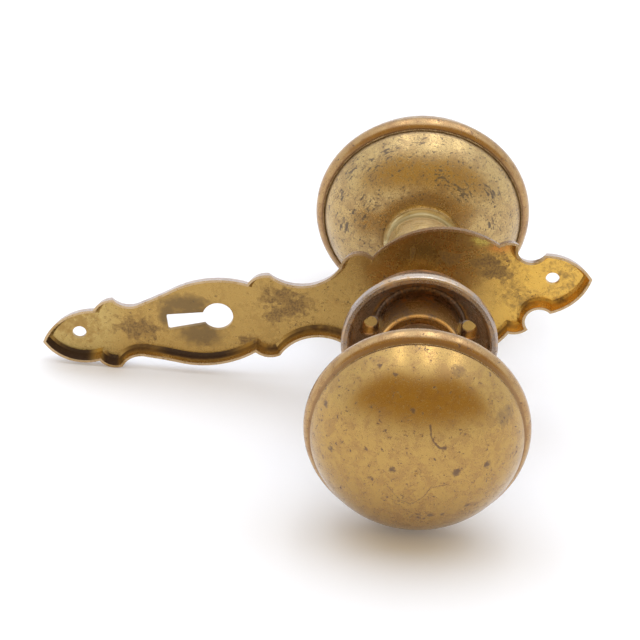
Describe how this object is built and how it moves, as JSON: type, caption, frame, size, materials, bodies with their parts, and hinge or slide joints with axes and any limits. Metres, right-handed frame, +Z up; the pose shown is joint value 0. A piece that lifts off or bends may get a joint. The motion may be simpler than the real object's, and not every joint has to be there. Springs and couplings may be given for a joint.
{
  "type": "passage door knob set",
  "caption": "Hollow brass door knobs on a square spindle, with a long scalloped keyhole plate on one side of the door and a round cup rose on the other.",
  "frame": {"origin": "on the spindle's axis, in the plane of the long plate's rim, which lies on the door's face", "axes": "+Y along the spindle from the rose side to the plate side; +Z up as the set rests on both knobs and the plate's lower cusp; the plate runs to -X and slopes down 12.8 degrees"},
  "size_m": [0.1487, 0.1608, 0.0601],
  "materials": {
    "knob_brass": "aged satin brass, mottled and pitted",
    "neck_brass": "turned brass, worn bright",
    "plate_brass": "pressed brass, smudged, greyed at the edges",
    "collar_brass": "turned brass, dull brown",
    "rose_brass": "cast brass, dark brown patina, rim worn to silvery grey",
    "spindle_steel": "dark drawn steel",
    "fastener_steel": "dull steel"
  },
  "bodies": {
    "plate": {"long_plate": "plate_brass", "plate_collar": "collar_brass"},
    "spindle_set": {"spindle": "spindle_steel", "rear_knob_dome": "knob_brass", "rear_knob_back": "knob_brass", "rear_neck": "neck_brass", "rear_clench_washer": "fastener_steel", "rear_pin": "fastener_steel"},
    "front_knob": {"front_knob_dome": "knob_brass", "front_knob_back": "knob_brass", "front_neck": "neck_brass", "front_clench_washer": "fastener_steel", "set_screw": "fastener_steel"},
    "rose": {"rose": "rose_brass"}
  },
  "joints": [
    {"name": "knob_turn", "type": "hinge", "parent": "plate", "child": "spindle_set", "pos_m": [0, 0, 0], "axis": [0, 1, 0], "continuous": true},
    {"name": "front_knob_slide", "type": "slide", "parent": "spindle_set", "child": "front_knob", "axis": [0, -1, 0], "range_m": [0, 0.032]},
    {"name": "rose_slide", "type": "slide", "parent": "plate", "child": "rose", "axis": [0, -1, 0], "range_m": [0, 0.032]}
  ],
  "couplings": [
    {"joint": "rose_slide", "follows": "front_knob_slide", "ratio": 1}
  ]
}
